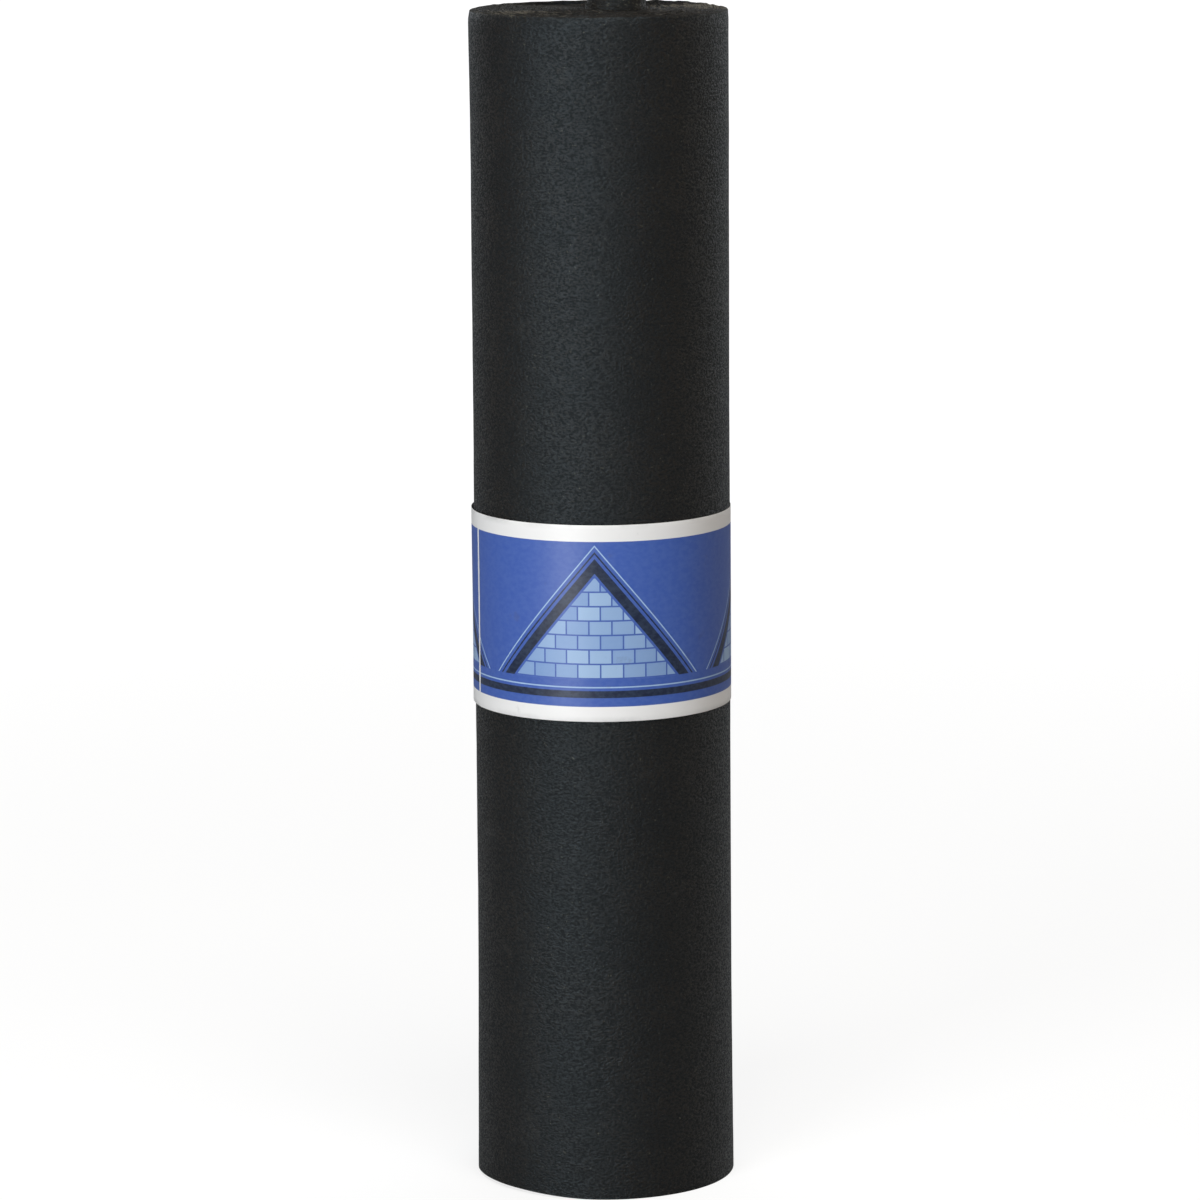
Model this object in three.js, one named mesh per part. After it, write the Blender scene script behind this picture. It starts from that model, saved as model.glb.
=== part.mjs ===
// A roll of roofing felt standing on its end, with the paper band that it is sold in.
// Millimetres, +Z up. The origin is on the roll's axis at the floor, and the band's printed front faces -Y.
import * as THREE from "three";
import { mergeVertices } from "three/addons/utils/BufferGeometryUtils.js";

const { degToRad, smoothstep } = THREE.MathUtils;

// The strip of felt, as it is wound
const FELT_WIDTH = 914.4; // the strip's width, which is the roll's height
const ROLL_RADIUS = 100; // to the outside of the last turn
const BORE_RADIUS = 15; // the hole that the winding mandrel leaves
const TURNS = 61;
const EYE_OFFSET = 15; // how far the bore lies off the roll's axis, towards +X
const TAIL_ANGLE = degToRad(20); // where the strip starts in the bore and ends on the outside

// The ends of the roll
const RIDGES = 20; // the turns show on each end as this many ridges of about three turns each
const GROOVE_SHARE = 0.18; // the share of a ridge's pitch that the groove beside it takes
const GROOVE_DEPTH = 1.5;
const CORE_RADIUS = 21; // the innermost turns have slid up the roll, out to this radius
const CORE_SLOPE = 4; // and the turns round them follow over this width
const CORE_RISE = 12;
const WAVE_RISE = 0.8; // the turns round the core have slid up by this at most, in waves
const WAVE_LENGTH = 19; // across the roll
const FLAT_RADIUS = 78; // outside this radius the turns are level, and the roll stands on them
const FACETS = 48; // round the roll

// The paper band
const BAND_HEIGHT = 152.4;
const BAND_BOTTOM = 378; // above the floor
const PAPER = 0.25; // thickness
const BAND_GAP = 0.25; // between the felt and the paper where the band is tight
const BAND_SLACK = 0.35; // how much further the band stands off the felt on its slack side, -X
const LAP_ANGLE = degToRad(199); // the outer end of the band
const LAP_FACETS = 5; // how far the outer end lies on the inner one
const EASE_FACETS = 5; // over which the paper then comes down to the felt again
const BAND_FACETS = 72;

const TURN_PITCH = (ROLL_RADIUS - BORE_RADIUS) / TURNS; // the felt and the air beside it
const LAST_EDGE = RIDGES + 1 - GROOVE_SHARE; // the outer edge of the last ridge, counted in ridges

// The radius of the spiral after a number of ridges. The first and the last are one turn of the strip
// wide, so that its two ends show as steps of one turn, and those between share out the rest evenly.
function windingRadius(ridge) {
  const first = Math.min(ridge, 1);
  const last = Math.max(ridge - (LAST_EDGE - 1), 0);
  const share = (ROLL_RADIUS - BORE_RADIUS - 2 * TURN_PITCH) / (LAST_EDGE - 2);
  return BORE_RADIUS + TURN_PITCH * (first + last) + share * (ridge - first - last);
}

// How far the turn at this radius has slid up the roll.
function slideUp(radius) {
  const core = CORE_RISE * (1 - smoothstep(radius, CORE_RADIUS, CORE_RADIUS + CORE_SLOPE));
  const wave = (WAVE_RISE / 2) * (1 - Math.cos((2 * Math.PI * radius) / WAVE_LENGTH));
  return core + wave * (1 - smoothstep(radius, FLAT_RADIUS - WAVE_LENGTH, FLAT_RADIUS));
}

// The roll's section at a part of a turn from 0 to 1, as points across its two ends from the bore out.
// A point holds its place on the spiral and its height: a ridge's inner and outer edge, then the groove.
function section(part) {
  const top = [];
  const bottom = [];
  for (let ridge = 0; ridge < RIDGES; ridge++) {
    const inner = ridge + part;
    const slid = slideUp(windingRadius(inner));
    for (const edge of [inner, inner + 1 - GROOVE_SHARE]) {
      top.push([edge, FELT_WIDTH + slid]);
      bottom.push([edge, slid]);
    }
    if (ridge < RIDGES - 1) {
      const next = slideUp(windingRadius(inner + 1));
      const middle = inner + 1 - GROOVE_SHARE / 2;
      top.push([middle, FELT_WIDTH + Math.min(slid, next) - GROOVE_DEPTH]);
      bottom.push([middle, Math.max(slid, next) + GROOVE_DEPTH]);
    }
  }
  return { top, bottom };
}

// The felt is one turned solid whose section grows by one ridge in each turn round the axis, so its
// ridges and grooves run as spirals. The strip's inner and outer ends are the two faces that this leaves.
function feltRoll() {
  const positions = [];
  const faces = [];
  const count = 3 * RIDGES - 1;
  const [TOP, BOTTOM] = [0, 1];
  const index = (column, i, side) => (column * 2 + side) * count + i;
  const quad = (a, b, c, d) => faces.push(a, b, c, a, c, d);

  for (let column = 0; column <= FACETS; column++) {
    const { top, bottom } = section(column / FACETS);
    const angle = TAIL_ANGLE + (2 * Math.PI * column) / FACETS;
    for (const [ridge, z] of [...top, ...bottom]) {
      const radius = windingRadius(ridge);
      const shift = (EYE_OFFSET * (ROLL_RADIUS - radius)) / (ROLL_RADIUS - BORE_RADIUS);
      positions.push(shift + radius * Math.cos(angle), radius * Math.sin(angle), z);
    }
  }
  for (let a = 0; a < FACETS; a++) {
    const b = a + 1;
    for (let i = 0; i < count - 1; i++) {
      quad(index(a, i, TOP), index(a, i + 1, TOP), index(b, i + 1, TOP), index(b, i, TOP));
      quad(index(b, i, BOTTOM), index(b, i + 1, BOTTOM), index(a, i + 1, BOTTOM), index(a, i, BOTTOM));
    }
    const wall = count - 1;
    quad(index(a, wall, BOTTOM), index(b, wall, BOTTOM), index(b, wall, TOP), index(a, wall, TOP));
    quad(index(b, 0, BOTTOM), index(a, 0, BOTTOM), index(a, 0, TOP), index(b, 0, TOP));
  }
  const step = (column, i, j) => {
    quad(index(column, i, BOTTOM), index(column, j, BOTTOM), index(column, j, TOP), index(column, i, TOP));
  };
  for (let i = 0; i < 3; i++) {
    step(0, i, i + 1);
    step(FACETS, count - 3 + i, count - 4 + i);
  }

  const geometry = new THREE.BufferGeometry();
  geometry.setAttribute("position", new THREE.Float32BufferAttribute(positions, 3));
  geometry.setIndex(faces);
  return mergeVertices(geometry, 1e-3);
}

// The band is a ring of paper cut from a plan with the strip's two ends in it. The outer end shows as a
// step on the outside, and the inner end, further round under it, as a step on the inside.
function paperBand() {
  const turned = (facet) => LAP_ANGLE + (2 * Math.PI * facet) / BAND_FACETS;
  const lifted = (facet) => PAPER * (1 - smoothstep(facet, LAP_FACETS, LAP_FACETS + EASE_FACETS));
  const point = (facet, thickness) => {
    const slack = BAND_SLACK * ((1 - Math.cos(turned(facet))) / 2) ** 2;
    const radius = ROLL_RADIUS + BAND_GAP + slack + lifted(facet) + thickness;
    return new THREE.Vector2(radius * Math.cos(turned(facet)), radius * Math.sin(turned(facet)));
  };
  const facets = Array.from({ length: BAND_FACETS + 1 }, (_, facet) => facet);

  const plan = new THREE.Shape(facets.map((facet) => point(facet, PAPER)));
  plan.holes.push(new THREE.Path(facets.map((facet) => point(facet + LAP_FACETS, 0))));
  return new THREE.ExtrudeGeometry(plan, { depth: BAND_HEIGHT, bevelEnabled: false });
}

const felt = new THREE.MeshStandardMaterial({
  color: 0x242322,
  roughness: 0.8,
  metalness: 0,
  flatShading: true,
});
const paper = new THREE.MeshStandardMaterial({
  color: 0x3f62b2,
  roughness: 0.5,
  metalness: 0,
  flatShading: true,
});

const roll = new THREE.Mesh(feltRoll(), felt);
roll.name = "felt_roll";

const band = new THREE.Mesh(paperBand(), paper);
band.name = "paper_band";
band.position.z = BAND_BOTTOM;

const part = new THREE.Group();
part.add(roll, band);

export default part;
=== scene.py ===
"""A roll of roofing felt standing on its end, with the printed paper band that it is sold in.

The felt is one strip wound from the bore out, whose cut edges make the two ends of the roll. The band is
one strip of paper, lapped and glued on itself. Metres, +Z up, and the band's front faces -Y.
"""

from math import pi, radians

import bpy
import numpy as np
from mathutils import Matrix, Vector


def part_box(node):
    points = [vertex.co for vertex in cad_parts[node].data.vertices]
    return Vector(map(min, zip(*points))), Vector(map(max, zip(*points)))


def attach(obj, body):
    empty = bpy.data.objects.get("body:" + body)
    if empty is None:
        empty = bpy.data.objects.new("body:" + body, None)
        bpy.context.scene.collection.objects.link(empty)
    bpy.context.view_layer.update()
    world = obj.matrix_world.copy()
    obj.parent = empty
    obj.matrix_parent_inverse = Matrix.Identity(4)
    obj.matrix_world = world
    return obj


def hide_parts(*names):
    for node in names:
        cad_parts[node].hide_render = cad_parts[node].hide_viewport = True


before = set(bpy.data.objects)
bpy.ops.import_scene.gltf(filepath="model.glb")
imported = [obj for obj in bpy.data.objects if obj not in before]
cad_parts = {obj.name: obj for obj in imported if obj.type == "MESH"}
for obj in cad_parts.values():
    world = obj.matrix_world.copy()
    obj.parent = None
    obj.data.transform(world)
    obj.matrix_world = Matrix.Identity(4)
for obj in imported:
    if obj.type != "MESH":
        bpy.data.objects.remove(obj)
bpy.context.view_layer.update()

# The strip of felt, as it is wound
FELT_WIDTH = 0.9144  # the strip's width, which is the roll's height
FELT = 0.0010  # thickness
ROLL_RADIUS = 0.100
BORE_RADIUS = 0.015
TURNS = 61
STEPS = 112  # columns of points in a turn
WALL_ROWS = 140  # rows of points up the outermost turn
HIDDEN_STEPS = 6  # columns of the outermost wall that start out under the strip's outer end
TURN_PITCH = (ROLL_RADIUS - FELT - BORE_RADIUS) / TURNS
BORE_OFFSET = 0.015  # how far the bore lies off the roll's axis, towards +X
TAIL_ANGLE = radians(20)  # the strip starts in the bore and ends on the outside here
CUT_ROUNDING = 0.0003  # of the strip's cut edges
PACKS = 0.23  # packs in a turn, so a pack takes some four turns
PACK_SHIFT = 0.00005  # how far the turns of a pack draw together on the tight side, +X
PACK_SLACK = 0.00018  # and how much further on the slack one, -X
SETTLED_TURNS = (2, 6)  # the packs die out over these turns, counted from each end of the strip

# How its turns lie at the two ends
CORE_RADIUS = 0.021  # the innermost turns have slid up the roll, out to this radius
CORE_SLOPE = 0.004  # and the turns round them follow over this width
CORE_RISE = 0.012
RIM_TURNS = 4  # the outermost turns stand lower than those inside them
RIM_STEP = 0.0010
DIP_DEPTH = 0.0046  # the turns inside the rim lie lower on one side of the top
DIP_ANGLE = radians(108)
DIP_SPREAD = radians(52)
DIP_TURNS = (18, 44)  # over which the dip deepens
HIGH_SIDE = radians(150)  # all turns stand a fraction higher on this side
HIGH_RISE = 0.00015
LOOSE_TURNS = (TURNS - 9, TURNS - 3)  # over which the two shifts of the outermost turns set in
FRONT_SIDE = radians(262)  # their top edge stands higher here
FRONT_RISE = 0.0018
FRONT_SPREAD = (radians(40), radians(85))
LIFTED_SIDE = radians(218)  # and their lower edge is off the floor here
LIFTED_RISE = 0.0022
LIFTED_SPREAD = (radians(5), radians(50))

# Waves in the height of the cut edges: each has a height, a seed, and a longest and a shortest length
TURN_WAVES = ((0.0004, 3, 5.0, 0.12), (0.00025, 5, 0.9, 0.09))  # from turn to turn, with lengths in turns
END_WAVES = ((0.0003, 7, 0.09, 0.02),)  # across the whole end
EDGE_WAVES = ((0.0002, 8, 0.12, 0.03), (0.0005, 9, 0.045, 0.018))  # along each turn
RIM_EVENNESS = 0.6  # the share of them that the rim lacks at the top, where at the floor it lacks them all

# The outermost wall
DENTS = ((0.00013, 11, 0.30, 0.05), (0.00004, 12, 0.04, 0.018))  # waves given in the same way
DENT_DEPTH = 0.00008  # how far in the middle of the dents lies
BASE_FLARE = 0.0017  # the outermost turn slackens towards the floor
BASE_FLARE_HEIGHT = 0.21
TOP_FLARE = 0.0009  # and towards the top on its slack side
TOP_FLARE_HEIGHT = 0.12
RIM_BEND = 0.0010  # the rim's last millimetres lean inwards, most of all on the slack side
RIM_BEND_HEIGHT = 0.006
BAND_CLEARANCE = (0.078, 0.13)  # from the band's middle, all of this sets in over these distances
FREE_ARC = 0.55  # the angle over which the strip's outer end lifts off
FREE_LIFT = 0.0011

# The paper band
BAND_LOW, BAND_HIGH = (corner.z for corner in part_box("paper_band"))
BAND_MIDDLE = (BAND_LOW + BAND_HIGH) / 2
PAPER = 0.00015
BAND_RADIUS = 0.1005  # to the outside of the paper where it is tight
BAND_SLACK = 0.00035  # how much further the paper stands off on its slack side, -X
RIPPLE = 0.0001  # height of its soft ripples
LAP_ANGLE = radians(199)  # where the outer end lies
LAP_TURN = radians(25)  # how far the inner end runs on under it
LAP_RISE = 1.4  # how far the lap stands up, in thicknesses of the paper
BAND_STEPS = 220
BAND_ROWS = 44
PAPER_CUT = ((0.62, 0.62, 0.60, 1), (0.80, 0.80, 0.78, 1))  # colours of its bare edge, from grain to grain

# The printed design, measured on the flat paper
INK_EDGE = 0.0002  # half the width over which an edge of the ink is soft
LOW_BORDER = 0.0116  # widths of the white borders
HIGH_BORDER = 0.0128
MARGIN = 0.0028  # the unprinted strip along the outer end
GROUND_BAND = (0.0185, 0.0240)  # heights of the navy ground line and of the pale one above it
GROUND_LINE = (0.0262, 0.0272)
BASE_LINE = 0.033  # the gables stand on this height above the band's lower edge
SLOPE = 1.2  # of the roofs
BIG_GABLE, SMALL_GABLE = 0.112, 0.080  # heights of their tops
GABLES = pi * BAND_RADIUS  # from one big gable to the next
GABLE_PLACE = 0.119  # from the outer end to the first big gable's top
RAFTER = (0.0030, 0.0145)  # heights above a roof of its navy rafter, a navy line and a pale one
NAVY_LINE = (0.0180, 0.0198)
PALE_LINE = (0.0236, 0.0250)
SHINGLE_WIDTH, COURSE_HEIGHT, SHINGLE_GAP = 0.0176, 0.0112, 0.0007
PAPER_WHITE = (0.87, 0.87, 0.865, 1)
FIELD_BLUE = (0.050, 0.111, 0.42, 1)
ROOF_BLUE = (0.19, 0.315, 0.59, 1)
PALE_BLUE = (0.36, 0.52, 0.74, 1)
NAVY = (0.010, 0.018, 0.047, 1)
GRIME = (0.10, 0.10, 0.11, 1)

# Colours of the felt's face
SOAKED = ((0.0118, 0.0088, 0.0066, 1), (0.0158, 0.0118, 0.0088, 1))  # from patch to patch
PIT = (0.0050, 0.0030, 0.0018, 1)
DUST = (0.05, 0.047, 0.042, 1)
# colour of the painted shade on the face, in the dark patches near the top end
FACE_PAINTED_SHADE = (0.005, 0.0045, 0.0040, 1)
DRY_RIM = (0.034, 0.029, 0.023, 1)
FACE_FLECK = (0.13, 0.125, 0.095, 1)
RIM_HEIGHTS = (0.9185, 0.9215)  # over which the face turns dry
SHEEN = (0.64, 0.86, 1.0, 1)

# Colours of its cut edges
TURN_BROWNS = ((0.0085, 0.0076, 0.0064, 1), (0.032, 0.0275, 0.022, 1))  # from turn to turn
CUT_PIT = (0.008, 0.007, 0.006, 1)
# pale colour of the wear streaks along the strip, and of the painted light in two patches of the top end
PALE_WEAR_AND_LIGHT = (0.155, 0.140, 0.112, 1)
# colour of the painted shade on the cut edges
CUT_PAINTED_SHADE = (0.0055, 0.005, 0.0042, 1)
CUT_FLECK = (0.20, 0.19, 0.145, 1)
PAINTED_SHADE_PATCHES = (  # the middles and the reaches of dark patches of painted shade on the top end, among them the dip at the back left and just in front of the core
    ((-0.026, 0.064, 0.912), 0.040),
    ((0.021, -0.028, 0.915), 0.026),
    ((0.036, 0.050, 0.915), 0.030),
)
PAINTED_LIGHT_PATCHES = ((0.077, 0.019, 0.915), (-0.067, -0.046, 0.915))  # and the middles of pale patches of painted light, at the right and the front left of the top end

# The camera, for a square frame
FRAME_PIXELS = 1200
FOCAL_PIXELS = 5893
SENSOR = 36.0
CAMERA_PLACE = Vector((0, -4.526, 1.2516))
CAMERA_TILT = radians(90 - 9.981)
CAMERA_TURN = radians(0.0195)
CAMERA_ROLL = radians(-0.37)

# The surroundings
BRIGHT_SIDE = (0.30, 0.95, 0)  # the direction in which they are brightest
COOL_SIDE = (-0.60, 0.80, 0)  # and the one in which they are coolest
WARM_LIGHT = (1, 0.72, 0.48, 1)
COOL_LIGHT = (0.90, 0.955, 1, 1)
FLOOR_GREY = (0.28, 0.28, 0.28, 1)
FLOOR_REACH = 40.0


def smoothstep(value, low, high):
    """0 up to low, 1 from high on, and 3s^2 - 2s^3 between them, where s is the share of the way."""
    share = np.clip((value - low) / (high - low), 0, 1)
    return share * share * (3 - 2 * share)


def unevenness(seed, longest, shortest, *places):
    """About -1 to 1: the sum of twelve sine waves over the places given, divided by 3.2. Each has its own
    direction and phase from the seed. Their lengths are spaced evenly by ratio from the longest to the
    shortest, and their heights go with the square root of the length."""
    chance = np.random.default_rng(seed)
    total = 0
    for length in np.geomspace(longest, shortest, 12):
        direction = chance.normal(size=len(places))
        direction /= np.linalg.norm(direction)
        along = sum(share * place for share, place in zip(direction, places))
        wave = np.sin(2 * pi * along / length + chance.uniform(0, 2 * pi))
        total = total + np.sqrt(length / longest) * wave
    return total / 3.2


def waves(kinds, *places):
    """The sum of several kinds of unevenness, each a height, a seed, and a longest and a shortest length."""
    return sum(height * unevenness(*kind, *places) for height, *kind in kinds)


def angle_from(angle, side):
    """The angle between a place round the roll and one of its sides, from 0 to pi."""
    return np.abs((angle - side + pi) % (2 * pi) - pi)


def slackness(angle):
    """0 on the roll's tight side, +X, and 1 on its slack side, -X, as half of one less the cosine."""
    return (1 - np.cos(angle)) / 2


# ---------------------------------------------------------------- shapes


def strip_section(angle, outer, centre, low, high, thickness, rows, relief=None):
    """Points of a strip that stands on edge and is wound round the Z axis, as [column, place, xyz].

    A column is the strip's cross-section at one angle. Its places go up the outer wall in rows, over the
    top edge, down the inner wall and under the bottom edge. The walls stop short of both edges by the
    rounding of the cut, and the two places on an edge lie at its full height. The outer wall stands at the
    column's radius from its centre on the X axis, and relief pushes both walls out by a function of angle
    and height.
    """
    rise = np.linspace(0, 1, rows + 1)
    share = np.concatenate([rise, [1, 1], rise[::-1], [0, 0]])
    level = np.concatenate([1 - 2 * rise, [0, 0], 1 - 2 * rise[::-1], [0, 0]])
    depth = np.concatenate([0 * rise, [0.25, 0.75], 0 * rise + 1, [0.75, 0.25]])
    z = low[:, None] + (high - low)[:, None] * share + level * min(CUT_ROUNDING, thickness)
    radius = outer[:, None] - thickness * depth
    if relief:
        radius = radius + relief(angle[:, None], z)
    x = centre[:, None] + radius * np.cos(angle)[:, None]
    y = radius * np.sin(angle)[:, None]
    return np.stack([x, y, z], axis=-1)


def wound_strip(name, sections, length, materials):
    """One closed mesh of a wound strip, from sections that follow each other along it.

    Quads join each column to the next. Where the rows change from one section to the next, one polygon
    joins each wall. The first and last columns are closed from the outer wall to the inner one. Its UV
    map is the flat strip: u is the length along it and v the height, in metres. The cut edges take the
    second material.
    """
    points = np.concatenate([s.reshape(-1, 3) for s in sections])
    starts = np.cumsum([0] + [s.shape[0] * s.shape[1] for s in sections])
    faces = []
    cut = []
    last = None
    for start, section in zip(starts, sections):
        columns, places = section.shape[:2]
        rows = places // 2 - 3
        grid = start + np.arange(columns * places).reshape(columns, places)
        here, after = grid, np.roll(grid, -1, axis=1)
        quads = np.stack([here[:-1], here[1:], after[1:], after[:-1]], axis=-1).reshape(-1, 4)
        on_wall = np.ones(places, bool)
        on_wall[[rows, rows + 1, rows + 2, places - 3, places - 2, places - 1]] = False
        faces += quads.tolist()
        cut += np.tile(~on_wall, columns - 1).tolist()
        corners = np.array([0, rows, rows + 1, rows + 2, rows + 3, places - 3, places - 2, places - 1])
        if last is not None:
            before, before_corners = last
            for i in range(8):
                j = (i + 1) % 8
                run = np.arange(corners[i], corners[j] + 1) if j else np.array([corners[i], 0])
                faces.append([before[before_corners[i]], *grid[0][run], before[before_corners[j]]])
                cut.append(i not in (0, 4))
        last = grid[-1], corners
        ends = [(grid[0], 1)] if start == 0 else []
        ends += [(grid[-1], -1)] if start == starts[-2] else []
        for column, way in ends:
            up, down = column[: rows + 1], column[places - 3 : rows + 2 : -1]
            wall = np.stack([up[:-1], up[1:], down[1:], down[:-1]], axis=-1)
            edges = [column[rows : rows + 4], column[[places - 3, places - 2, places - 1, 0]]]
            closing = [list(face)[::way] for face in [*wall, *edges]]
            faces += closing
            cut += [True] * len(closing)

    mesh = bpy.data.meshes.new(name)
    mesh.from_pydata(points, [], faces)
    along = np.concatenate([np.repeat(part, s.shape[1]) for part, s in zip(length, sections)])
    corner = np.empty(len(mesh.loops), int)
    mesh.loops.foreach_get("vertex_index", corner)
    flat = np.stack([along, points[:, 2]], axis=1)[corner]
    mesh.uv_layers.new(name="flat_strip").data.foreach_set("uv", flat.ravel())
    mesh.polygons.foreach_set("material_index", np.array(cut, int))
    mesh.shade_smooth()
    mesh.set_sharp_from_angle(angle=radians(35))
    for material in materials:
        mesh.materials.append(material)
    piece = bpy.data.objects.new(name, mesh)
    bpy.context.scene.collection.objects.link(piece)
    return piece


def winding(turn, angle):
    """Outer radius and centre of the strip after a number of turns: the radius grows by one pitch in each
    turn, drawn a little together and apart in packs of some four turns, more so on the slack side, -X."""
    phase = 2 * pi * PACKS * turn + 1.3 * np.sin(0.4 * turn)
    pack = (PACK_SHIFT + PACK_SLACK * slackness(angle)) * np.sin(phase)
    first, last = SETTLED_TURNS
    settled = smoothstep(turn, first, last) * (1 - smoothstep(turn, TURNS - last, TURNS - first))
    outer = BORE_RADIUS + FELT + TURN_PITCH * turn + pack * settled
    centre = BORE_OFFSET * (ROLL_RADIUS - outer) / (ROLL_RADIUS - BORE_RADIUS - FELT)
    return outer, centre


def end_heights(turn, angle, outer):
    """Heights of the strip's lower and upper edge. The core has slid up the roll, and so have the turns
    inside the rim, a little. The turns stand unevenly, from one to the next and along each, and those
    inside the rim dip on one side of the top. The outermost ones stand higher at the front of the top, and
    off the floor at one side of it."""
    rim = smoothstep(turn, TURNS - RIM_TURNS - 1, TURNS - RIM_TURNS + 0.5)
    core = smoothstep(outer, CORE_RADIUS, CORE_RADIUS + CORE_SLOPE)
    loose = smoothstep(turn, *LOOSE_TURNS)
    slid = CORE_RISE * (1 - core) + RIM_STEP * (1 - rim) + HIGH_RISE * (1 + np.cos(angle - HIGH_SIDE))
    uneven = waves(TURN_WAVES, turn)
    uneven += waves(END_WAVES, outer * np.cos(angle), outer * np.sin(angle))
    uneven += waves(EDGE_WAVES, outer * angle)
    dip = DIP_DEPTH * (1 - smoothstep(angle_from(angle, DIP_ANGLE), 0, DIP_SPREAD))
    dip *= smoothstep(turn, *DIP_TURNS)
    raised = FRONT_RISE * (1 - smoothstep(angle_from(angle, FRONT_SIDE), *FRONT_SPREAD)) * loose
    lifted = LIFTED_RISE * (1 - smoothstep(angle_from(angle, LIFTED_SIDE), *LIFTED_SPREAD)) * loose
    high = FELT_WIDTH + slid + uneven * (1 - RIM_EVENNESS * rim) - dip * (1 - rim) + raised
    low = slid + np.abs(uneven) * (1 - rim) + lifted
    return low, high


def wall_relief(angle, z):
    """How far the outermost turn stands out: shallow dents and swells, slack that grows towards both ends
    as the power 1.5 of the way there, the rim's lean, which grows as its square, and the strip's free end
    lifted a little. There is none of it under the band."""
    side = slackness(angle)
    dents = waves(DENTS, ROLL_RADIUS * angle, z) - DENT_DEPTH
    base = BASE_FLARE * np.clip(1 - z / BASE_FLARE_HEIGHT, 0, 1) ** 1.5
    down = FELT_WIDTH - z
    top = TOP_FLARE * np.clip(1 - down / TOP_FLARE_HEIGHT, 0, 1) ** 1.5 * side
    bend = RIM_BEND * np.clip(1 - down / RIM_BEND_HEIGHT, 0, 1) ** 2 * (0.4 + 0.6 * side)
    clear = smoothstep(np.abs(z - BAND_MIDDLE), *BAND_CLEARANCE)
    tail = TAIL_ANGLE + 2 * pi * TURNS
    free = smoothstep(angle, tail - FREE_ARC, tail) ** 2
    lift = FREE_LIFT * free * (0.7 + 0.5 * unevenness(13, 0.5, 0.15, z))
    return (dents + base + top - bend + lift) * clear


def felt_winding(materials):
    """The whole strip, with fine rows on its last turn only, whose outer wall is the roll's side."""
    turn = np.arange(TURNS * STEPS + 1) / STEPS
    angle = TAIL_ANGLE + 2 * pi * turn
    outer, centre = winding(turn, angle)
    low, high = end_heights(turn, angle, outer)
    length = np.concatenate([[0], np.cumsum(outer[1:] * np.diff(angle))])
    split = (TURNS - 1) * STEPS - HIDDEN_STEPS
    inner = strip_section(*(a[:split] for a in (angle, outer, centre, low, high)), FELT, 1)
    last = [a[split:] for a in (angle, outer, centre, low, high)]
    sections = [inner, strip_section(*last, FELT, WALL_ROWS, wall_relief)]
    return wound_strip("felt_winding", sections, [length[:split], length[split:]], materials)


def band_relief(angle, z):
    """The paper stands off a little on its slack side, more so along its upper edge, in soft ripples."""
    slack = slackness(angle) ** 2
    share = (z - BAND_LOW) / (BAND_HIGH - BAND_LOW)
    ripple = RIPPLE * (1 + unevenness(21, 0.11, 0.03, BAND_RADIUS * angle, 0.35 * z))
    return slack * BAND_SLACK * (0.6 + 0.9 * share**2) + ripple * (0.35 + 0.65 * slack)


def band_wrapper(materials):
    """The paper strip, from its outer end round the roll and on under that end, as far as the lap goes.

    The paper on the lap is raised by what lies under it, and comes down again past the lap.
    """
    turned = np.linspace(0, 2 * pi + LAP_TURN, BAND_STEPS + 1)
    raised = LAP_RISE * PAPER * (1 - smoothstep(turned, LAP_TURN, 2 * LAP_TURN))
    outer = BAND_RADIUS + raised
    level = np.ones_like(turned)
    columns = (LAP_ANGLE + turned, outer, 0 * level, BAND_LOW * level, BAND_HIGH * level)
    section = strip_section(*columns, PAPER, BAND_ROWS, band_relief)
    return wound_strip("band_wrapper", [section], [BAND_RADIUS * turned], materials)


# ---------------------------------------------------------------- materials


def add(tree, kind, inputs=(), **settings):
    """A node of this kind in the tree. Inputs are given by name or number, as a value or as the socket that
    feeds them."""
    node = tree.nodes.new("ShaderNode" + kind)
    for name, value in settings.items():
        setattr(node, name, value)
    fill(tree, node, inputs)
    return node


def fill(tree, node, inputs):
    """Sets or links a node's inputs."""
    for name, value in dict(inputs).items():
        if isinstance(value, bpy.types.NodeSocket):
            tree.links.new(value, node.inputs[name])
        else:
            node.inputs[name].default_value = value


def calc(tree, operation, *values):
    """The output of a Math node."""
    return add(tree, "Math", enumerate(values), operation=operation).outputs[0]


def ramp(tree, value, low, high, to_low=0.0, to_high=1.0):
    """The value's way from low to high, eased, as a number from to_low to to_high."""
    inputs = {"Value": value, 1: low, 2: high, 3: to_low, 4: to_high}
    return add(tree, "MapRange", inputs, interpolation_type="SMOOTHSTEP").outputs[0]


def printed_above(tree, value, edge, way=1):
    """1 where the value lies above the edge, or below it where way is -1."""
    return ramp(tree, value, edge - way * INK_EDGE, edge + way * INK_EDGE)


def stripe(tree, value, low, high):
    """1 where the value lies between low and high."""
    return calc(tree, "MULTIPLY", printed_above(tree, value, low), printed_above(tree, value, high, -1))


def blend(tree, share, first, second):
    """Two colours mixed by a share."""
    inputs = {0: share, 6: first, 7: second}
    return add(tree, "Mix", inputs, data_type="RGBA").outputs[2]


def noise(tree, place, scale, detail=2.0, roughness=0.5, distortion=0.0):
    """Noise from 0 to 1, with so many cells in a metre."""
    inputs = {"Vector": place, "Scale": scale, "Detail": detail, "Roughness": roughness}
    return add(tree, "TexNoise", inputs | {"Distortion": distortion}).outputs["Fac"]


def strip_noise(tree, along, scale, detail, roughness=0.5):
    """Noise from 0 to 1 along a strip, with so many cells in a metre."""
    inputs = {"W": along, "Scale": scale, "Detail": detail, "Roughness": roughness}
    return add(tree, "TexNoise", inputs, noise_dimensions="1D").outputs["Fac"]


def distance(tree, place, middle):
    """How far a place is from a middle."""
    return add(tree, "VectorMath", {0: place, 1: middle}, operation="DISTANCE").outputs["Value"]


def flat_place(tree):
    """The length along a strip and the height on it, from its UV map."""
    flat = add(tree, "UVMap", uv_map="flat_strip").outputs[0]
    return add(tree, "SeparateXYZ", {0: flat}).outputs[:2]


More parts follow.
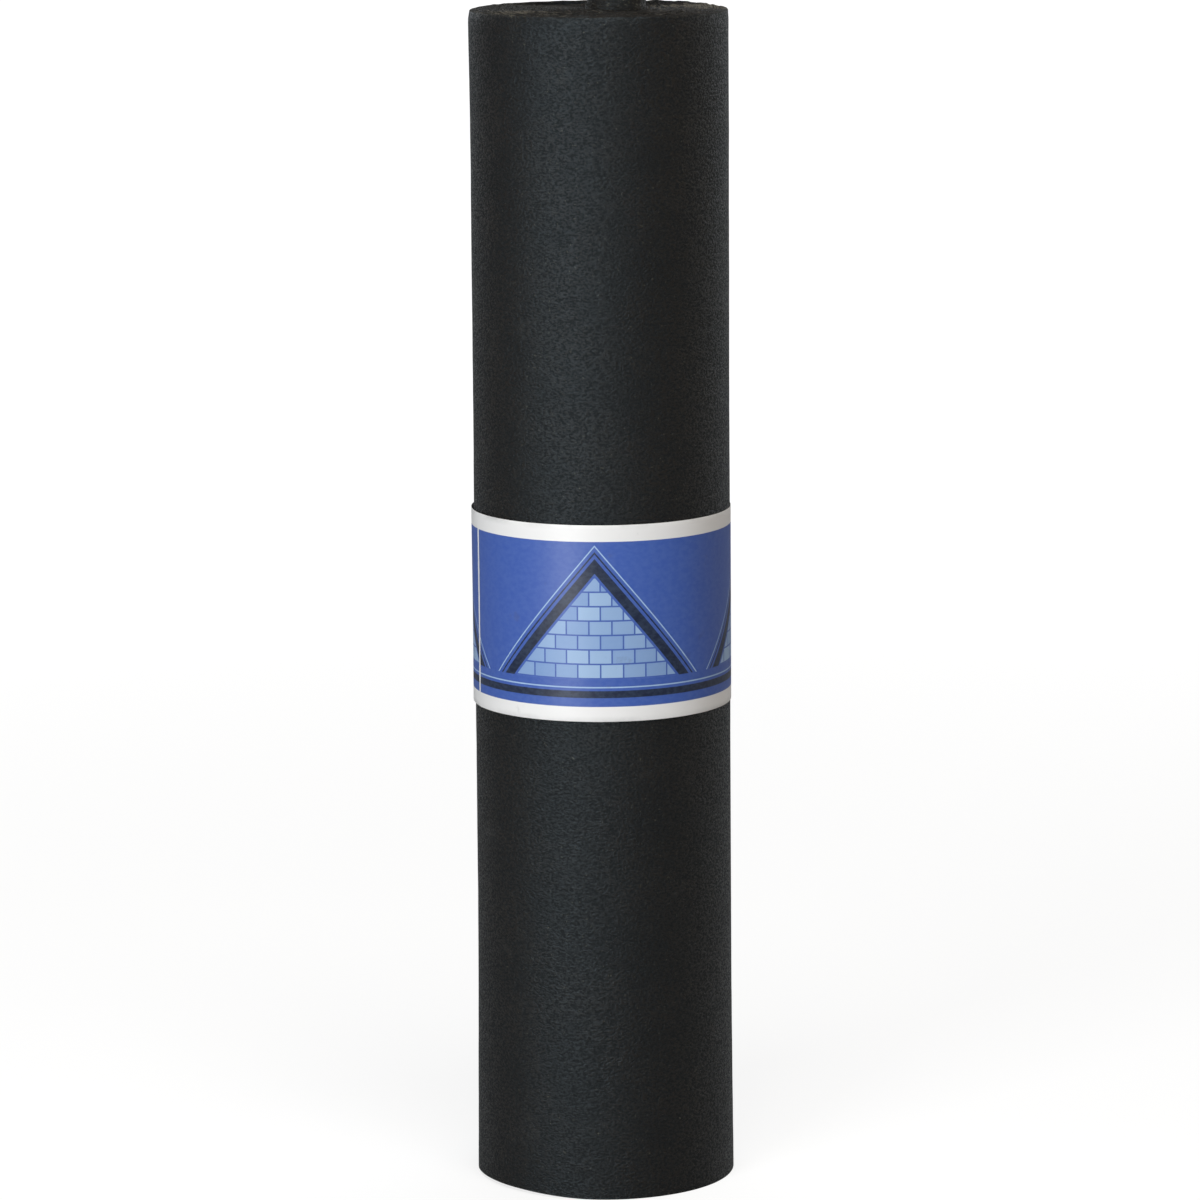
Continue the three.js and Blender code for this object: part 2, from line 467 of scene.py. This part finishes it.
def new_material(name):
    """An empty node material and its tree."""
    material = bpy.data.materials.new(name)
    material.use_nodes = True
    material.node_tree.nodes.clear()
    return material, material.node_tree


def finish_material(tree, inputs):
    """Ends the tree in a Principled BSDF with these inputs."""
    shader = add(tree, "BsdfPrincipled", inputs)
    add(tree, "OutputMaterial", {"Surface": shader.outputs[0]})


def group(name, inputs, outputs):
    """An empty node group with the sockets named, its input sockets and its output node."""
    tree = bpy.data.node_groups.new(name, "ShaderNodeTree")
    for way, sockets in (("INPUT", inputs), ("OUTPUT", outputs)):
        for socket, kind in sockets.items():
            tree.interface.new_socket(socket, in_out=way, socket_type="NodeSocket" + kind)
    return tree, tree.nodes.new("NodeGroupInput").outputs, tree.nodes.new("NodeGroupOutput")


def use_group(tree, shared, inputs):
    """A shared node group placed in a material."""
    node = tree.nodes.new("ShaderNodeGroup")
    node.node_tree = shared
    fill(tree, node, inputs)
    return node.outputs


def fibre_group():
    """Matted fibres: the height of a crinkled surface, and where its broad patches are darker or paler."""
    inputs = {"Place": "Vector", "Crinkle Size": "Float", "Fibre Size": "Float"}
    tree, given, made = group("Matted fibres", inputs, {"Height": "Float", "Patches": "Float"})
    wide = add(tree, "VectorMath", {0: given["Place"], 1: (1, 1, 1.5)}, operation="MULTIPLY").outputs[0]
    crinkle = noise(tree, wide, calc(tree, "DIVIDE", 1, given["Crinkle Size"]), 3.0, 0.55, 0.15)
    fibre = noise(tree, given["Place"], calc(tree, "DIVIDE", 1, given["Fibre Size"]), 2.0, 0.6)
    height = calc(tree, "ADD", calc(tree, "MULTIPLY", crinkle, 0.8), calc(tree, "MULTIPLY", fibre, 0.2))
    fill(tree, made, {"Height": height, "Patches": noise(tree, given["Place"], 26, 5.0, 0.62)})
    return tree


def scuff_group():
    """Scuffs, dust and pale flecks: a mask of scattered patches with broken edges, and more of them as the
    amount rises from about 0.3 to 1."""
    inputs = {"Place": "Vector", "Size": "Float", "Amount": "Float"}
    tree, given, made = group("Scuffs", inputs, {"Mask": "Float"})
    patch = noise(tree, given["Place"], calc(tree, "DIVIDE", 1, given["Size"]), 6.0, 0.7)
    edge = calc(tree, "SUBTRACT", 0.78, calc(tree, "MULTIPLY", given["Amount"], 0.4))
    fill(tree, made, {"Mask": ramp(tree, patch, edge, calc(tree, "ADD", edge, 0.09))})
    return tree


def painted_shade_group():
    """Painted shade: a mask of dark patches on the top end, with broken edges, where the dip and the core
    shade it.
    """
    tree, given, made = group("Painted shade", {"Place": "Vector"}, {"Mask": "Float"})
    broken = noise(tree, given["Place"], 60, 4.0, 0.6)
    mask = 0.0
    for middle, reach in PAINTED_SHADE_PATCHES:
        away = calc(tree, "MULTIPLY_ADD", broken, 0.03, distance(tree, given["Place"], middle))
        mask = calc(tree, "MAXIMUM", mask, ramp(tree, away, reach + 0.012, reach - 0.006))
    fill(tree, made, {"Mask": mask})
    return tree


def felt_face(fibres, scuffs, painted_shade_tree):
    """The strip's face: black asphalt-soaked felt, mottled, with dark rough pits between ridges that have
    a soft bluish sheen. Over it lie faint dust, painted shade in dark patches near the top end, dry fibres
    along the top rim, and scattered pale flecks, more of them on the rim."""
    material, tree = new_material("felt_face")
    place = add(tree, "TexCoord").outputs["Object"]
    up = add(tree, "SeparateXYZ", {0: place}).outputs[2]
    felt = use_group(tree, fibres, {"Place": place, "Crinkle Size": 0.0024, "Fibre Size": 0.0008})
    dust = use_group(tree, scuffs, {"Place": place, "Size": 0.05, "Amount": 0.40})["Mask"]
    painted_shade_mask = use_group(tree, painted_shade_tree, {"Place": place})["Mask"]
    rim = ramp(tree, calc(tree, "MULTIPLY_ADD", felt["Patches"], 0.010, up), *RIM_HEIGHTS)
    amount = calc(tree, "MULTIPLY_ADD", rim, 0.20, 0.40)
    flecks = use_group(tree, scuffs, {"Place": place, "Size": 0.0030, "Amount": amount})["Mask"]

    colour = blend(tree, ramp(tree, felt["Patches"], 0.40, 0.60), *SOAKED)
    colour = blend(tree, ramp(tree, felt["Height"], 0.40, 0.60), PIT, colour)
    colour = blend(tree, calc(tree, "MULTIPLY", dust, 0.25), colour, DUST)
    # painted shade: near-black and rougher in the dark patches near the top end
    colour = blend(tree, painted_shade_mask, colour, FACE_PAINTED_SHADE)
    colour = blend(tree, calc(tree, "MULTIPLY", rim, 0.4), colour, DRY_RIM)
    colour = blend(tree, calc(tree, "MULTIPLY", flecks, 0.55), colour, FACE_FLECK)
    matt = ramp(tree, felt["Height"], 0.40, 0.60, 0.74, 0.35)
    bump = add(tree, "Bump", {"Strength": 1.0, "Distance": 0.0014, "Height": felt["Height"]})
    inputs = {
        "Base Color": colour,
        "Roughness": calc(tree, "MAXIMUM", matt, calc(tree, "MULTIPLY", painted_shade_mask, 0.75)),
        "Specular IOR Level": 0.43,
        "Specular Tint": SHEEN,
        "Normal": bump.outputs[0],
    }
    finish_material(tree, inputs)
    return material


def felt_cut(fibres, scuffs, painted_shade_tree):
    """The strip's cut edges: dry brown fibres, each turn a little different, worn pale in streaks along the
    strip and in flecks, most of all in two pale patches of painted light, and black in patches of painted
    shade."""
    material, tree = new_material("felt_cut_edge")
    place = add(tree, "TexCoord").outputs["Object"]
    along, _ = flat_place(tree)
    felt = use_group(tree, fibres, {"Place": place, "Crinkle Size": 0.0016, "Fibre Size": 0.0005})
    painted_shade_mask = use_group(tree, painted_shade_tree, {"Place": place})["Mask"]
    # painted light: the top end is paler in two patches, at the right and the front left, where the wear
    # streaks and pale flecks gather
    nearest = calc(tree, "MINIMUM", *(distance(tree, place, middle) for middle in PAINTED_LIGHT_PATCHES))
    ragged = calc(tree, "MULTIPLY_ADD", felt["Patches"], 0.12, nearest)
    lit_patch_mask = ramp(tree, ragged, 0.110, 0.050, 0.0, 0.34)
    wear_and_light = ramp(tree, calc(tree, "ADD", strip_noise(tree, along, 80.0, 5.0, 0.62), lit_patch_mask), 0.60, 0.76)
    amount = calc(tree, "MULTIPLY_ADD", lit_patch_mask, 0.8, 0.42)
    flecks = use_group(tree, scuffs, {"Place": place, "Size": 0.0045, "Amount": amount})["Mask"]

    colour = blend(tree, ramp(tree, strip_noise(tree, along, 7.0, 3.0), 0.3, 0.7), *TURN_BROWNS)
    colour = blend(tree, ramp(tree, felt["Height"], 0.36, 0.62), CUT_PIT, colour)
    colour = blend(tree, calc(tree, "MULTIPLY", wear_and_light, 0.6), colour, PALE_WEAR_AND_LIGHT)
    # painted shade: black in the dark patches on the top end
    colour = blend(tree, painted_shade_mask, colour, CUT_PAINTED_SHADE)
    colour = blend(tree, calc(tree, "MULTIPLY", flecks, 0.6), colour, CUT_FLECK)
    bump = add(tree, "Bump", {"Strength": 1.0, "Distance": 0.0006, "Height": felt["Height"]})
    inputs = {
        "Base Color": colour,
        "Roughness": ramp(tree, wear_and_light, 0.0, 1.0, 0.78, 0.92),
        "Specular IOR Level": 0.14,
        "Normal": bump.outputs[0],
    }
    finish_material(tree, inputs)
    return material


def roof_print(tree, along, up):
    """The colour of the printed design: a row of big and small gables hung with shingles, under navy
    rafters and thin navy and pale lines, on a pale and a navy ground line, over the blue field."""
    near = calc(tree, "PINGPONG", calc(tree, "SUBTRACT", along, GABLE_PLACE), GABLES / 2)
    far = calc(tree, "SUBTRACT", GABLES / 2, near)
    big = calc(tree, "MULTIPLY_ADD", near, SLOPE, calc(tree, "SUBTRACT", up, BIG_GABLE))
    small = calc(tree, "MULTIPLY_ADD", far, SLOPE, calc(tree, "SUBTRACT", up, SMALL_GABLE))
    above = calc(tree, "MINIMUM", big, small)
    standing = printed_above(tree, up, BASE_LINE)
    roof, rafter, navy_line, pale_line = (
        stripe(tree, above, *heights) for heights in ((-1, 0), RAFTER, NAVY_LINE, PALE_LINE)
    )

    courses = {
        "Vector": add(tree, "CombineXYZ", {0: along, 1: up}).outputs[0],
        "Color1": (0, 0, 0, 1),
        "Color2": (1, 1, 1, 1),
        "Mortar": (0, 0, 0, 1),
        "Scale": 1.0,
        "Mortar Size": SHINGLE_GAP,
        "Mortar Smooth": 0.3,
        "Brick Width": SHINGLE_WIDTH,
        "Row Height": COURSE_HEIGHT,
    }
    shingles = add(tree, "TexBrick", courses).outputs
    tint = blend(tree, calc(tree, "MULTIPLY", shingles["Color"], 0.9), ROOF_BLUE, PALE_BLUE)
    hung = blend(tree, shingles["Fac"], tint, FIELD_BLUE)

    colour = blend(tree, calc(tree, "MULTIPLY", roof, standing), FIELD_BLUE, hung)
    colour = blend(tree, calc(tree, "MULTIPLY", pale_line, standing), colour, PALE_BLUE)
    navy = calc(tree, "ADD", rafter, navy_line)
    colour = blend(tree, calc(tree, "MULTIPLY", navy, standing), colour, NAVY)
    colour = blend(tree, stripe(tree, up, *GROUND_LINE), colour, PALE_BLUE)
    return blend(tree, stripe(tree, up, *GROUND_BAND), colour, NAVY)


def band_print(fibres, scuffs):
    """The printed paper: a blue field with its design between white borders, slightly mottled ink, faint
    upright waves, and grey smudges from the felt."""
    material, tree = new_material("band_print")
    place = add(tree, "TexCoord").outputs["Object"]
    along, level = flat_place(tree)
    up = calc(tree, "SUBTRACT", level, BAND_LOW)
    height = BAND_HIGH - BAND_LOW
    paper = use_group(tree, fibres, {"Place": place, "Crinkle Size": 0.0045, "Fibre Size": 0.0004})
    smudge = use_group(tree, scuffs, {"Place": place, "Size": 0.03, "Amount": 0.40})["Mask"]

    mottled = calc(tree, "MULTIPLY", ramp(tree, paper["Height"], 0.35, 0.65), 0.05)
    ink = blend(tree, mottled, roof_print(tree, along, up), PALE_BLUE)
    between = stripe(tree, up, LOW_BORDER, height - HIGH_BORDER)
    past_margin = printed_above(tree, along, MARGIN)
    printed = blend(tree, calc(tree, "MULTIPLY", between, past_margin), PAPER_WHITE, ink)
    edge = ramp(tree, calc(tree, "PINGPONG", up, height / 2), 0.0050, 0.0)
    rubbed = calc(tree, "MULTIPLY", edge, ramp(tree, paper["Patches"], 0.35, 0.75, 0.0, 0.30))
    grime = calc(tree, "MULTIPLY_ADD", smudge, 0.16, rubbed)
    upright = add(tree, "VectorMath", {0: place, 1: (1, 1, 0.3)}, operation="MULTIPLY").outputs[0]
    relief = calc(tree, "MULTIPLY_ADD", noise(tree, upright, 30, 1.0), 4.0, paper["Height"])
    bump = add(tree, "Bump", {"Strength": 0.3, "Distance": 0.0003, "Height": relief})
    inputs = {
        "Base Color": blend(tree, grime, printed, GRIME),
        "Roughness": ramp(tree, smudge, 0.0, 1.0, 0.40, 0.55),
        "Specular IOR Level": 0.45,
        "Normal": bump.outputs[0],
    }
    finish_material(tree, inputs)
    return material


def paper_edge():
    """The bare cut edge of the paper."""
    material, tree = new_material("paper_edge")
    place = add(tree, "TexCoord").outputs["Object"]
    shade = blend(tree, noise(tree, place, 900), *PAPER_CUT)
    finish_material(tree, {"Base Color": shade, "Roughness": 0.8})
    return material


# ---------------------------------------------------------------- stage


def add_camera():
    """The camera: a long lens, a little above the roll's middle, looking down at it."""
    camera = bpy.data.objects.new("camera", bpy.data.cameras.new("camera"))
    bpy.context.scene.collection.objects.link(camera)
    camera.data.sensor_width = SENSOR
    camera.data.lens = SENSOR * FOCAL_PIXELS / FRAME_PIXELS
    turn = Matrix.Rotation(CAMERA_TURN, 4, "Z") @ Matrix.Rotation(CAMERA_TILT, 4, "X")
    camera.matrix_world = Matrix.Translation(CAMERA_PLACE) @ turn @ Matrix.Rotation(CAMERA_ROLL, 4, "Z")
    bpy.context.scene.camera = camera


def add_softbox(name, place, width, tall, watts, colour):
    """An area lamp that faces the roll."""
    lamp = bpy.data.lights.new(name, "AREA")
    lamp.shape = "RECTANGLE"
    lamp.size = width
    lamp.size_y = tall
    lamp.energy = watts
    lamp.color = colour
    softbox = bpy.data.objects.new(name, lamp)
    softbox.location = place
    aim = Vector((0, 0, FELT_WIDTH / 2)) - softbox.location
    softbox.rotation_euler = aim.to_track_quat("-Z", "Y").to_euler()
    bpy.context.scene.collection.objects.link(softbox)


def add_world():
    """Soft light all round, much brighter behind the roll, cool at the back left and warm at the front
    right. The camera sees it as plain white."""
    world = bpy.data.worlds.new("studio")
    world.use_nodes = True
    tree = world.node_tree
    tree.nodes.clear()
    way = add(tree, "TexCoord").outputs["Generated"]
    bright, cool = (
        add(tree, "VectorMath", {0: way, 1: side}, operation="DOT_PRODUCT").outputs["Value"]
        for side in (BRIGHT_SIDE, COOL_SIDE)
    )
    seen = add(tree, "LightPath").outputs["Is Camera Ray"]
    level = ramp(tree, bright, 0.12, 0.72, 0.03, 1.40)
    light = blend(tree, ramp(tree, cool, -0.40, 0.10), WARM_LIGHT, COOL_LIGHT)
    inputs = {"Color": blend(tree, seen, light, (1, 1, 1, 1)), "Strength": calc(tree, "MAXIMUM", level, seen)}
    background = add(tree, "Background", inputs)
    add(tree, "OutputWorld", {"Surface": background.outputs[0]})
    bpy.context.scene.world = world


def add_floor():
    """A pale floor that the camera sees as near white, and that keeps the roll's shadow."""
    material, tree = new_material("floor")
    place = add(tree, "TexCoord").outputs["Object"]
    away = add(tree, "VectorMath", {0: place}, operation="LENGTH").outputs["Value"]
    glow = ramp(tree, away, 0.3, 5.0, 0.74, 0.97)
    seen = add(tree, "LightPath").outputs["Is Camera Ray"]
    matt = add(tree, "BsdfDiffuse", {"Color": FLOOR_GREY})
    light = add(tree, "Emission", {"Color": (1, 1, 1, 1), "Strength": calc(tree, "MULTIPLY", seen, glow)})
    both = add(tree, "AddShader", {0: matt.outputs[0], 1: light.outputs[0]})
    add(tree, "OutputMaterial", {"Surface": both.outputs[0]})
    mesh = bpy.data.meshes.new("floor")
    corners = [(FLOOR_REACH * x, FLOOR_REACH * y, 0) for x, y in ((-1, -1), (1, -1), (1, 1), (-1, 1))]
    mesh.from_pydata(corners, [], [(0, 1, 2, 3)])
    mesh.materials.append(material)
    floor = bpy.data.objects.new("floor", mesh)
    bpy.context.scene.collection.objects.link(floor)


bpy.context.scene.view_settings.view_transform = "Standard"
add_camera()
add_world()
add_floor()
add_softbox("key_left", (-1.43, -2.46, 0.90), width=1.1, tall=1.7, watts=60, colour=(0.97, 0.985, 1.0))
add_softbox("overhead", (0.4, -2.0, 5.0), width=2.4, tall=2.4, watts=158, colour=(1.0, 0.975, 0.94))

fibres = fibre_group()
scuffs = scuff_group()
# the mask of painted shade on the top end
painted_shade_tree = painted_shade_group()
felt = felt_winding([felt_face(fibres, scuffs, painted_shade_tree), felt_cut(fibres, scuffs, painted_shade_tree)])
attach(felt, "root")
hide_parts("felt_roll")

band = band_wrapper([band_print(fibres, scuffs), paper_edge()])
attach(band, "root")
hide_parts("paper_band")
